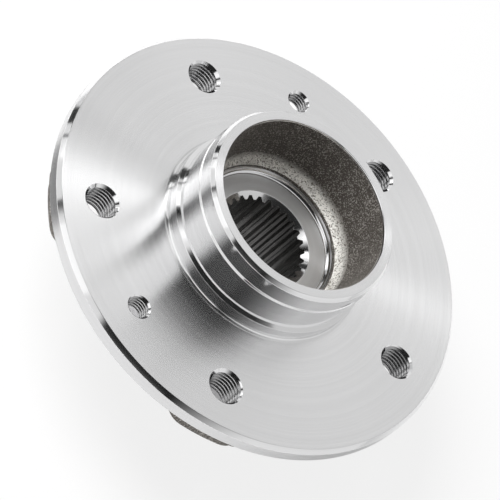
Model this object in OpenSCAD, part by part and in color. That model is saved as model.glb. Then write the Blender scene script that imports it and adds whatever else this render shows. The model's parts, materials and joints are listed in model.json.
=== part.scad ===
// Driven wheel hub with its double-row ball bearing, five threaded wheel-bolt holes
// and a splined bore for the drive shaft. Millimetres, +Z out of the hub's nose.
// The origin is the centre of the flange face that the brake disc sits on.

/* [Flange] */
// Diameter of the flange
flange_d = 151.3; // [149:0.1:158]
// Thickness of the flange at its rim
flange_t = 6.5; // [5.5:0.1:7.5]
// Radial width of the chamfer round the front of the rim
rim_chamfer_w = 1.25; // [0.6:0.05:2]
// Depth of the chamfer round the front of the rim
rim_chamfer_h = 1.55; // [0.6:0.05:2.5]
// Depth of the arms behind the flange face
arm_depth = 12; // [10.5:0.1:12.4]
// Width of each arm
arm_w = 27; // [23:0.5:31]
// Distance from the rim in to the end of each arm
arm_inset = 2; // [1.5:0.1:4]
// Corner radius at the end of each arm
arm_corner_r = 7; // [4:0.5:10]
// Draft angle of the arms' forged sides
arm_draft = 6; // [2:0.5:8]
// Radius of the thick core that the arms run out of
core_r = 44; // [43:0.5:47]
// Radius of the forged fillets behind the flange
forged_fillet_r = 4; // [2:0.1:4.4]
// Width of the bevel along the arms' rear edges
arm_edge = 0.8; // [0.3:0.1:1.5]

/* [Wheel bolt and disc screw holes] */
// Number of wheel-bolt holes
bolt_count = 5; // [4:1:5]
// Diameter of the bolt circle
bolt_circle_d = 120; // [116:0.5:122]
// Bore of a wheel-bolt hole, at the crests of its thread
bolt_bore_d = 10.4; // [9.5:0.1:12.5]
// Diameter of a wheel-bolt hole's mouth, at its countersink
bolt_mouth_d = 12.4; // [11:0.1:14]
// Bore of a disc-screw hole, at the crests of its thread
screw_bore_d = 6.8; // [5:0.1:8]
// Diameter of a disc-screw hole's mouth, at its countersink
screw_mouth_d = 8.4; // [6:0.1:10]
// Width of the chamfer at the rear end of a wheel-bolt hole
bolt_exit_w = 0.6; // [0.3:0.1:1.5]

/* [Pilot] */
// Height of the pilot above the flange face
pilot_h = 25.35; // [23:0.05:30]
// Diameter that centres the wheel, at the foot of the pilot
wheel_pilot_d = 72.5; // [71.6:0.1:75]
// Height of the wheel-centring diameter
wheel_pilot_h = 5.3; // [4:0.1:8]
// Diameter of the pilot above the wheel-centring step
body_d = 69.6; // [69:0.1:70.6]
// Height at which the pilot steps down to its neck
neck_z = 17.6; // [14:0.1:19]
// Diameter of the pilot's neck
neck_d = 68.8; // [68:0.1:68.9]
// Outer diameter of the pilot's front ring
lip_outer_d = 66.8; // [65:0.1:67.5]
// Inner diameter of the pilot's front ring
lip_inner_d = 61; // [60.4:0.1:62.5]
// Radius of the fillet at the foot of the pilot
foot_fillet_r = 1.4; // [0.6:0.1:2]

/* [Cavity and nut seat] */
// Diameter of the cavity just inside the front ring
cavity_mouth_d = 60.3; // [58:0.1:60.3]
// Diameter of the cavity where its wall meets the floor fillet
cavity_foot_d = 55.6; // [54:0.1:57]
// Height at which the cavity wall meets the floor fillet
cavity_foot_z = 7.8; // [6:0.1:10]
// Diameter of the turned seat for the axle nut
seat_d = 51.2; // [46:0.1:52]
// Depth of the seat behind the flange face
seat_depth = 0.6; // [0.2:0.1:3]
// Height of the rim of the seat's counterbore
seat_rim_z = 2.6; // [1.5:0.1:4]
// Radius of the fillet round the seat
seat_fillet_r = 1; // [0.4:0.1:1.6]

/* [Spline] */
// Number of spline teeth
spline_teeth = 28; // [24:1:30]
// Diameter across the tips of the spline teeth
spline_tip_d = 30.5; // [28:0.1:31]
// Height of a spline tooth
tooth_h = 1.25; // [0.9:0.05:1.5]
// Flank angle of a spline tooth
flank_angle = 30; // [20:1:35]
// Angle from the bolt hole on +X to the first tooth space
spline_phase = 5.3; // [0:0.1:12.8]
// Diameter of the chamfered mouth of the spline
spline_mouth_d = 35.6; // [34.6:0.1:38]
// Diameter of the plain lead-in at the inboard end
lead_in_d = 35; // [34.2:0.1:36.4]
// Depth of the plain lead-in at the inboard end
lead_in_depth = 3.5; // [1:0.1:8]

/* [Bearing] */
// Bore of the bearing, which is the diameter of the hub's spindle
bearing_bore_d = 43; // [42.2:0.1:44]
// Outside diameter of the bearing
bearing_od = 80; // [78.6:0.1:82]
// Width of the outer ring
outer_ring_w = 35; // [34.4:0.1:38]
// Width of the two inner rings together
inner_rings_w = 37; // [36.2:0.1:40]
// Depth of the hub's shoulder behind the flange face
shoulder_depth = 13.5; // [13.2:0.1:16]
// Radius of the hub's shoulder
shoulder_r = 26.6; // [24.5:0.1:27.4]
// Gap between a cage and the seal beside it
cage_seal_gap = 0.47; // [0.3:0.01:0.8]
// Diameter of the circle through the ball centres
ball_circle_d = 62; // [61.6:0.1:62.3]
// Diameter of a ball
ball_d = 11.112; // [10.9:0.001:11.2]
// Balls in each row
balls_per_row = 14; // [12:1:14]
// Contact angle of the balls
contact_angle = 36; // [30:1:40]
// Running gap between a ball and a raceway
race_gap = 0.05; // [0.03:0.01:0.08]
// Gap between a ball and its cage pocket
pocket_gap = 0.12; // [0.08:0.01:0.2]
// Thickness of the cage across the balls
cage_t = 3.7; // [3:0.1:3.9]
// Thickness of the cage web beside a ball
cage_web = 0.95; // [0.6:0.05:1.1]
// How far the cage fingers reach past the ball centres
finger_reach = 2.8; // [2:0.1:3.4]

/* [Seals] */
// Thickness of the pressed steel of the seals
sheet_t = 0.5; // [0.4:0.05:0.55]
// Depth of a seal into the outer ring
seal_depth = 3.4; // [3.2:0.1:3.5]
// Diameter of the bore that a seal case is pressed into
seal_bore_d = 72.4; // [72:0.1:73.4]
// Gap between a slinger and the seal case round it
labyrinth_gap = 0.3; // [0.25:0.05:0.5]
// Gap between a seal lip and the slinger it wipes
lip_gap = 0.2; // [0.1:0.05:0.3]
// Thickness of the magnetic encoder ring
encoder_t = 0.9; // [0.6:0.05:1]

/* [Hidden] */
$fn = 96;
eps = 0.01;

// Flange and pilot
flange_r = flange_d / 2;
arm_end_r = flange_r - arm_inset;
pitch_angle = 360 / bolt_count;
screw_angles = [1.5 * pitch_angle, (bolt_count - 0.5) * pitch_angle];
rear_edge = 0.5;
core_edge = 1;
root_fillet_r = forged_fillet_r / 2;
root_sink = 0.05; // how deep the root fillets run into the back of the flange
arm_corner_step = 0.3; // how far an arm's round corners stay behind the arc of its end
arm_corner_y = arm_w / 2 - arm_corner_r;
arm_corner_x = sqrt((arm_end_r - arm_corner_r) ^ 2 - arm_corner_y ^ 2) - arm_corner_step;
step_chamfer = 0.7;
lead_h = 1.35;
lip_chamfer_h = 0.7;

// Seat and spline
seat_z = -seat_depth;
tip_r = spline_tip_d / 2;
root_r = tip_r + tooth_h;
mouth_r = spline_mouth_d / 2;
mouth_angle = 29;
tooth_pitch = 360 / spline_teeth;

// Spindle
spindle_r = bearing_bore_d / 2;
inner_top = -shoulder_depth;
inner_bottom = inner_top - inner_rings_w;
spindle_inset = 0.6;
spindle_end = inner_bottom + spindle_inset;
spindle_chamfer = 1;
shoulder_edge = 0.6;
relief_w = 1.6;
relief_d = 0.3;

// Cavity
cavity_foot_r = cavity_foot_d / 2;
floor_rise = cavity_foot_z - seat_rim_z;
floor_reach = cavity_foot_r - seat_d / 2;
floor_fillet_r = (floor_rise ^ 2 + floor_reach ^ 2) / (2 * floor_reach);
floor_fillet_angle = asin(floor_rise / floor_fillet_r);

// Bearing
bearing_z = inner_top - inner_rings_w / 2;
outer_bottom = bearing_z - outer_ring_w / 2;
ball_r = ball_d / 2;
pitch_r = ball_circle_d / 2;
groove_r = 0.52 * ball_d;
groove_shift = groove_r - ball_r - race_gap;
outer_race_r = pitch_r + ball_r;
inner_race_r = pitch_r - ball_r;
outer_land_r = outer_race_r - 0.285 * ball_d;
outer_shoulder_r = outer_race_r - 0.06 * ball_d;
inner_land_r = inner_race_r + 0.294 * ball_d;
inner_shoulder_r = inner_race_r + 0.07 * ball_d;
ring_chamfer = 0.8;
cage_inner_r = pitch_r - cage_t / 2 + 0.05;
cage_outer_r = cage_inner_r + cage_t;
pocket_r = ball_r + pocket_gap;
finger_slot = [cage_t + 2, 1.2, 2.2];
case_floor = outer_ring_w / 2 - seal_depth;
row_z = case_floor - cage_seal_gap - cage_web - pocket_r;
ball_pitch = 360 / balls_per_row;

// Seals, with the height of their faces above the middle of the bearing
slinger_inset = 0.2;
seal_face = outer_ring_w / 2 - slinger_inset;
seal_bore_r = seal_bore_d / 2;
slinger_r = seal_bore_r - sheet_t - labyrinth_gap;
sleeve_r = inner_land_r + sheet_t;
case_hole_r = sleeve_r + 1.6;

// The rubber of a seal: how far each edge of its wall lip stands out from the hole in
// the case, and how far the rubber wraps round the edge of that hole
lip_foot = 3.2;
lip_outer = 3.6;
lip_inner = 3.1;
lip_neck = 2.3;
lip_bed = 0.4;
lip_wrap = 0.7;
lip_skin = 0.05;

// Inner-ring clip
clip_w = 2.2;
clip_t = 0.4;
clip_gap = 0.1;

steel = [0.80, 0.80, 0.81];
bright = [0.88, 0.88, 0.90];
dark = [0.32, 0.32, 0.34];
rubber = [0.10, 0.10, 0.11];
nylon = [0.16, 0.24, 0.34];

function ball_name(row, i) = str("ball_", row, "_", i < 10 ? "0" : "", i);

// Points of an arc about c, from angle a to angle b
function arc(c, r, a, b, steps = 8) =
    [for (i = [0:steps]) c + r * [cos(a + (b - a) * i / steps), sin(a + (b - a) * i / steps)]];

// A body of revolution about Z from a list of [radius, height] points
module revolve(points) {
    rotate_extrude() polygon(points);
}

// The ring that fills a concave corner at [r, z] and leaves a fillet; dir gives
// the quadrant that the fillet's centre lies in
module corner_fillet(r, z, fillet, dir) {
    rotate_extrude() difference() {
        translate([r + min(0, dir[0] * fillet), z + min(0, dir[1] * fillet)]) square(fillet);
        translate([r + dir[0] * fillet, z + dir[1] * fillet]) circle(r = fillet, $fn = 48);
    }
}

// Everything that turns about Z, in the half of the bearing named by side:
// 1 is outboard, towards the flange, and -1 is inboard
module half(side) {
    translate([0, 0, bearing_z])
        if (side > 0) children();
        else mirror([0, 0, 1]) children();
}

// Hub forging

// The turned outline of the hub, solid on the axis
module hub_turning() {
    revolve(concat([
        [0, seat_z],
        [seat_d / 2, seat_z]
    ], arc([cavity_foot_r - floor_fillet_r, cavity_foot_z], floor_fillet_r, -floor_fillet_angle, 0, 6), [
        [cavity_mouth_d / 2, pilot_h - lip_chamfer_h],
        [lip_inner_d / 2, pilot_h],
        [lip_outer_d / 2, pilot_h],
        [neck_d / 2, pilot_h - lead_h],
        [neck_d / 2, neck_z + step_chamfer / 2],
        [body_d / 2, neck_z - step_chamfer / 2],
        [body_d / 2, wheel_pilot_h + step_chamfer],
        [wheel_pilot_d / 2, wheel_pilot_h],
        [wheel_pilot_d / 2, 0],
        [flange_r - rim_chamfer_w, 0],
        [flange_r, -rim_chamfer_h],
        [flange_r, rear_edge - flange_t],
        [flange_r - rear_edge, -flange_t]
    ], arc([core_r + forged_fillet_r, -flange_t - forged_fillet_r], forged_fillet_r, 90, 180), [
        [core_r, core_edge - arm_depth],
        [core_r - core_edge, -arm_depth],
        [shoulder_r + core_edge, -arm_depth],
        [shoulder_r, -arm_depth - shoulder_edge],
        [shoulder_r, inner_top],
        [spindle_r, inner_top],
        [spindle_r - relief_d, inner_top + relief_d],
        [spindle_r - relief_d, inner_top - relief_w],
        [spindle_r, inner_top - relief_w - relief_d],
        [spindle_r, spindle_end + spindle_chamfer],
        [spindle_r - spindle_chamfer / 2, spindle_end],
        [0, spindle_end]
    ]));
}

// A slice of an arm along +X, from height z up by depth: straight sides, round corners
// and an end that follows the rim. It starts inset from the arm's outline all round, and
// widens by flare.
module arm_blank(z, depth, inset, flare) {
    back = arm_w / 2 - inset;
    corner_r = arm_corner_r - inset;
    end_r = arm_end_r - inset;
    translate([0, 0, z]) intersection() {
        union() {
            rotate([90, 0, 90]) linear_extrude(height = arm_corner_x)
                polygon([[-back, 0], [back, 0], [back + flare, depth], [-back - flare, depth]]);
            translate([arm_corner_x, -arm_corner_y, 0]) cube([arm_corner_r + 2, 2 * arm_corner_y, depth]);
            for (y = [-arm_corner_y, arm_corner_y]) translate([arm_corner_x, y, 0])
                cylinder(r1 = corner_r, r2 = corner_r + flare, h = depth);
        }
        cylinder(r1 = end_r, r2 = min(end_r + flare, flange_r - rear_edge), h = depth);
    }
}

// One forged arm behind a bolt hole, with its rear edges bevelled and draft on its sides
module arm() {
    depth = arm_depth - flange_t - arm_edge + 1;
    arm_blank(-arm_depth, arm_edge + eps, arm_edge, arm_edge);
    arm_blank(arm_edge - arm_depth, depth, 0, depth * tan(arm_draft));
}

// The forged fillet between the side of an arm and the back of the flange
module arm_root(side) {
    foot_y = arm_w / 2 + (arm_depth - flange_t - arm_edge) * tan(arm_draft);
    centre_y = foot_y + root_fillet_r * (1 - sin(arm_draft)) / cos(arm_draft);
    start_x = core_r - 1;
    mirror([0, side < 0 ? 1 : 0, 0]) translate([start_x, 0, -flange_t])
        rotate([90, 0, 90]) linear_extrude(height = arm_corner_x - start_x)
            polygon(concat([[foot_y - 1, 0.5]],
                arc([centre_y, root_sink - root_fillet_r], root_fillet_r, 90, 180 - arm_draft, 4),
                [[foot_y - 1, -root_fillet_r]]));
}

// A threaded hole through the flange: its bore and its countersink, cut from the front
module threaded_hole(bore, mouth, depth) {
    sink = (mouth - bore) / 2;
    translate([0, 0, -depth - 1]) cylinder(d = bore, h = depth + 2);
    translate([0, 0, -sink]) cylinder(d1 = bore, d2 = mouth + 2 * eps, h = sink + eps);
}

// The hollow of the splined bore: the circle inside the tooth tips and the tooth spaces
module spline_bore() {
    mid_r = tip_r + tooth_h / 2;
    half_space = PI * mid_r / spline_teeth / 2;
    slope = tan(flank_angle);
    tip_half = half_space + slope * (tooth_h / 2 + 0.3);
    root_half = half_space - slope * tooth_h / 2;
    length = seat_z - spindle_end + 2;
    translate([0, 0, spindle_end - 1]) {
        cylinder(r = tip_r, h = length);
        for (i = [0:spline_teeth - 1]) rotate([0, 0, spline_phase + i * tooth_pitch])
            linear_extrude(height = length)
                polygon([
                    [tip_r - 0.3, -tip_half], [root_r, -root_half],
                    [root_r, root_half], [tip_r - 0.3, tip_half]
                ]);
    }
}

// The chamfered mouth of the spline and the plain lead-in at its other end
module spline_ends() {
    mouth_h = (mouth_r - tip_r + 0.2) * tan(mouth_angle);
    translate([0, 0, seat_z - mouth_h])
        cylinder(r1 = tip_r - 0.2, r2 = mouth_r, h = mouth_h);
    translate([0, 0, seat_z - eps]) cylinder(r = mouth_r, h = 1);
    translate([0, 0, spindle_end - 1]) cylinder(d = lead_in_d, h = lead_in_depth + 1);
    translate([0, 0, spindle_end + lead_in_depth])
        cylinder(r1 = lead_in_d / 2, r2 = tip_r, h = lead_in_d / 2 - tip_r);
}

module hub() {
    color(steel) difference() {
        union() {
            hub_turning();
            corner_fillet(wheel_pilot_d / 2, 0, foot_fillet_r, [1, 1]);
            corner_fillet(seat_d / 2, seat_z, seat_fillet_r, [-1, 1]);
            for (i = [0:bolt_count - 1]) rotate([0, 0, i * pitch_angle]) {
                arm();
                for (side = [1, -1]) arm_root(side);
            }
        }
        for (i = [0:bolt_count - 1]) rotate([0, 0, i * pitch_angle])
            translate([bolt_circle_d / 2, 0, 0]) {
                threaded_hole(bolt_bore_d, bolt_mouth_d, arm_depth);
                translate([0, 0, -arm_depth - eps]) cylinder(
                    d1 = bolt_bore_d + 2 * (bolt_exit_w + eps), d2 = bolt_bore_d, h = bolt_exit_w + eps);
            }
        for (a = screw_angles) rotate([0, 0, a])
            translate([bolt_circle_d / 2, 0, 0]) threaded_hole(screw_bore_d, screw_mouth_d, flange_t);
        spline_bore();
        spline_ends();
    }
}

// Bearing rings

// The groove that one row of balls runs in. The shift moves its centre away from
// the contact point, so that the ball touches at the contact angle.
module raceway(shift) {
    rotate_extrude()
        translate([pitch_r + shift * cos(contact_angle), row_z - shift * sin(contact_angle)])
            circle(r = groove_r);
}

module outer_ring() {
    color(bright) difference() {
        translate([0, 0, outer_bottom]) cylinder(d = bearing_od, h = outer_ring_w);
        translate([0, 0, outer_bottom - 1]) cylinder(r = outer_land_r, h = outer_ring_w + 2);
        for (side = [1, -1]) half(side) {
            raceway(-groove_shift);
            translate([0, 0, row_z]) cylinder(r = outer_shoulder_r, h = outer_ring_w / 2 - row_z + 1);
            translate([0, 0, outer_ring_w / 2 - seal_depth - 0.2])
                cylinder(d = seal_bore_d, h = seal_depth + 1.2);
            outer_corner();
        }
    }
}

// The chamfer round the outside of the outer ring's face
module outer_corner() {
    r = bearing_od / 2;
    revolve([
        [r - ring_chamfer, outer_ring_w / 2], [r, outer_ring_w / 2 - ring_chamfer],
        [r + 1, outer_ring_w / 2 - ring_chamfer], [r + 1, outer_ring_w / 2 + 1],
        [r - ring_chamfer, outer_ring_w / 2 + 1]
    ]);
}

// An inner ring: its tall shoulder carries the seal and takes the side load
module inner_ring(side) {
    width = inner_rings_w / 2;
    color(bright) half(side) difference() {
        revolve([
            [spindle_r, 0],
            [inner_shoulder_r, 0],
            [inner_shoulder_r, row_z],
            [inner_land_r, row_z],
            [inner_land_r, width - ring_chamfer / 2],
            [inner_land_r - ring_chamfer / 2, width],
            [spindle_r + ring_chamfer, width],
            [spindle_r, width - ring_chamfer]
        ]);
        raceway(groove_shift);
        translate([0, 0, -1]) cylinder(r = spindle_r + clip_t + 2 * clip_gap, h = 1 + clip_w / 2 + clip_gap);
    }
}

module inner_ring_outboard() { inner_ring(1); }

module inner_ring_inboard() { inner_ring(-1); }

// The sprung band that holds the two inner rings together until they are clamped
module inner_ring_clip() {
    r = spindle_r + clip_gap;
    color(dark) translate([0, 0, bearing_z - clip_w / 2]) difference() {
        cylinder(r = r + clip_t, h = clip_w);
        translate([0, 0, -1]) cylinder(r = r, h = clip_w + 2);
        translate([0, -1, -1]) cube([r + 2, 2, clip_w + 2]);
    }
}

// Balls and cages

// Angle of ball i from +X: the inboard row stands half a pitch behind the outboard one
function ball_angle(side, i) = (i - (side > 0 ? 1 : 1.5)) * ball_pitch;

module ball(side, i) {
    color(bright) half(side) rotate([0, 0, ball_angle(side, i)])
        translate([pitch_r, 0, row_z]) sphere(r = ball_r);
}

// A snap-in cage: a ring with a round pocket for each ball, open towards the
// middle of the bearing so that its fingers close past the balls
module cage(side) {
    bottom = row_z - finger_reach;
    top = row_z + pocket_r + cage_web;
    color(nylon) half(side) difference() {
        translate([0, 0, bottom]) cylinder(r = cage_outer_r, h = top - bottom);
        translate([0, 0, bottom - 1]) cylinder(r = cage_inner_r, h = top - bottom + 2);
        for (i = [1:balls_per_row]) rotate([0, 0, ball_angle(side, i)]) {
            translate([pitch_r, 0, row_z]) sphere(r = pocket_r);
            rotate([0, 0, ball_pitch / 2]) translate([pitch_r, 0, bottom]) cube(finger_slot, center = true);
        }
    }
}

module cage_outboard() { cage(1); }

module cage_inboard() { cage(-1); }

// Seals

// The pressed case of a seal, tight in the outer ring
module seal_case(side) {
    color(dark) half(side) revolve([
        [seal_bore_r, seal_face], [seal_bore_r - sheet_t, seal_face],
        [seal_bore_r - sheet_t, case_floor + sheet_t], [case_hole_r, case_floor + sheet_t],
        [case_hole_r, case_floor], [seal_bore_r, case_floor]
    ]);
}

// The pressed slinger, tight on the inner ring, its wall cover below the seal's face
module slinger(side, cover) {
    top = seal_face - cover;
    color(dark) half(side) revolve([
        [inner_land_r, top], [slinger_r, top], [slinger_r, top - sheet_t],
        [sleeve_r, top - sheet_t], [sleeve_r, case_floor + 0.1], [inner_land_r, case_floor + 0.1]
    ]);
}

// The rubber bonded to the case: a lip that wipes the slinger's sleeve, one that
// wipes its wall and the bead that covers the edge of the case
module seal_lip(side, cover) {
    base = case_floor + sheet_t;
    wall = seal_face - cover - sheet_t - lip_gap;
    rise = wall - base;
    color(rubber) half(side) revolve([
        [case_hole_r, case_floor - lip_skin], [case_hole_r, base], [case_hole_r + lip_foot, base],
        [case_hole_r + lip_foot, base + 0.35 * rise], [case_hole_r + lip_outer, wall],
        [case_hole_r + lip_inner, wall], [case_hole_r + lip_neck, base + 0.4 * rise],
        [case_hole_r + lip_bed, base + 0.4 * rise], [sleeve_r + lip_gap, base + 0.75 * rise],
        [sleeve_r + lip_gap, base + 0.35 * rise], [case_hole_r - lip_wrap, case_floor - lip_skin]
    ]);
}

module seal_case_outboard() { seal_case(1); }

module seal_lip_outboard() { seal_lip(1, 0); }

module slinger_outboard() { slinger(1, 0); }

module seal_case_inboard() { seal_case(-1); }

module seal_lip_inboard() { seal_lip(-1, encoder_t); }

module slinger_inboard() { slinger(-1, encoder_t); }

// The magnetic ring that the wheel-speed sensor reads, bonded to the inboard slinger
module encoder_ring() {
    color(rubber) half(-1) translate([0, 0, seal_face - encoder_t]) difference() {
        cylinder(r = slinger_r, h = encoder_t);
        translate([0, 0, -1]) cylinder(r = sleeve_r + 0.4, h = encoder_t + 2);
    }
}

hub();
outer_ring();
inner_ring_outboard();
inner_ring_inboard();
inner_ring_clip();
cage_outboard();
cage_inboard();
seal_case_outboard();
seal_lip_outboard();
slinger_outboard();
seal_case_inboard();
seal_lip_inboard();
slinger_inboard();
encoder_ring();
for (i = [1:balls_per_row]) {
    ball(1, i);
    ball(-1, i);
}
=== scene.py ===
"""A driven wheel hub with its press-in double-row ball bearing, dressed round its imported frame.

The hub forging, the rings, the seal cases, the slingers and the encoder ring are remade here as
finer meshes, in the places that the frame gives. The balls, the cages, the clip and the seal lips
keep the frame's meshes and get their materials. Lengths in the classes are millimetres, unless
their notes say otherwise. Every mesh is made in metres, about the origin of the frame, with +Z
along the wheel axis out of the hub's nose.
"""
from __future__ import annotations

import json
import logging
import math
from dataclasses import dataclass, field
from enum import Enum
from typing import Any, Iterable, Sequence

import bmesh
import bpy
from mathutils import Matrix, Vector

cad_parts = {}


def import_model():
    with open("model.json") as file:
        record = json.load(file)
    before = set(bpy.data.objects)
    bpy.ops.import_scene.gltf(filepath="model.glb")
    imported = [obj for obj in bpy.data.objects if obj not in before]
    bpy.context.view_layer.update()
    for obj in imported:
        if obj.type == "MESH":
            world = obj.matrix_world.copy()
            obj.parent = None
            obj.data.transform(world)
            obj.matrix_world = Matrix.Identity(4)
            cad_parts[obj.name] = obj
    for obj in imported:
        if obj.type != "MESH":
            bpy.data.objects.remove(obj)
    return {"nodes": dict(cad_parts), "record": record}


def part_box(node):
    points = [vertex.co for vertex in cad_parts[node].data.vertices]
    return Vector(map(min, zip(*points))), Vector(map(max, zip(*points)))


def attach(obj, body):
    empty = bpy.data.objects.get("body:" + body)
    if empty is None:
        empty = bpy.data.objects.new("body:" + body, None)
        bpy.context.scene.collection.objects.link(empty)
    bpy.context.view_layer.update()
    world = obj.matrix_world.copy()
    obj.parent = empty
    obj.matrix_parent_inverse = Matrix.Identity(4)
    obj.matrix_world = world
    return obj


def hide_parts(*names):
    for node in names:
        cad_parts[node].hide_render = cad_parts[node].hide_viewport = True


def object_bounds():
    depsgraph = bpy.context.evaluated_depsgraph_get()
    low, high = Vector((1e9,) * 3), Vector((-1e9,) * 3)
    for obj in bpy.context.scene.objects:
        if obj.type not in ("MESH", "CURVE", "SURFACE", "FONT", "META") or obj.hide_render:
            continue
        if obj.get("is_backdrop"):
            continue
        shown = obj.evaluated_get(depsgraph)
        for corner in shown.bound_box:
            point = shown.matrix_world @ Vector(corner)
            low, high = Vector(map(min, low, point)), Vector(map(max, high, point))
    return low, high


LOG = logging.getLogger("wheel_hub")
MM = 0.001
TURN = 2 * math.pi
MERGE = 1e-7
EASED_ANGLE = math.radians(22)
EASED_FACETS = 2
SHARP_ANGLE = math.radians(32)
SENSOR = 36.0
FINE_DETAIL = 3.0
# The part of a turn that lays a blurred reflection across grooves that run round the wheel axis.
ACROSS_GROOVES = 0.25
Colour = tuple[float, float, float]
Point = tuple[float, float]
BRIGHT: Colour = (0.93, 0.93, 0.935)


class Signal:
    """A number that changes over a surface: a socket that arithmetic can be done on."""

    def __init__(self, shader: Shader, socket: bpy.types.NodeSocket) -> None:
        """Keep the socket and the shader that its nodes go into."""
        self.shader = shader
        self.socket = socket

    def __add__(self, other: Signal | float) -> Signal:
        """Return the sum."""
        return self.shader.maths("ADD", self, other)

    def __sub__(self, other: Signal | float) -> Signal:
        """Return the difference."""
        return self.shader.maths("SUBTRACT", self, other)

    def __rsub__(self, other: float) -> Signal:
        """Return a number less this signal."""
        return self.shader.maths("SUBTRACT", other, self)

    def __mul__(self, other: Signal | float) -> Signal:
        """Return the product."""
        return self.shader.maths("MULTIPLY", self, other)

    def __pow__(self, other: Signal | float) -> Signal:
        """Return this signal to a power."""
        return self.shader.maths("POWER", self, other)

    __radd__ = __add__
    __rmul__ = __mul__

    def swing(self, width: float) -> Signal:
        """Return noise that runs from 0 to 1 as a swing about 0, of a given width."""
        return (self - 0.5) * width

    def step(self, low: float, high: float) -> Signal:
        """Return a smooth step.

        Args:
            low: the value at which the step is 0.
            high: the value at which it is 1; it may be the lower of the two.

        Returns:
            The signal, from 0 to 1.
        """
        if low < high:
            ends = {"From Min": low, "From Max": high}
        else:
            ends = {"From Min": high, "From Max": low, "To Min": 1.0, "To Max": 0.0}
        return self.shader.signal("Result", "ShaderNodeMapRange", {"Value": self, **ends},
                                  interpolation_type="SMOOTHSTEP")

    def faded(self, first: float, last: float) -> Signal:
        """Return 1 between -1 and 1, faded out over a width at the first end and at the last."""
        return (self + 1).step(0, first) * (1 - self).step(0, last)


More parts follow.
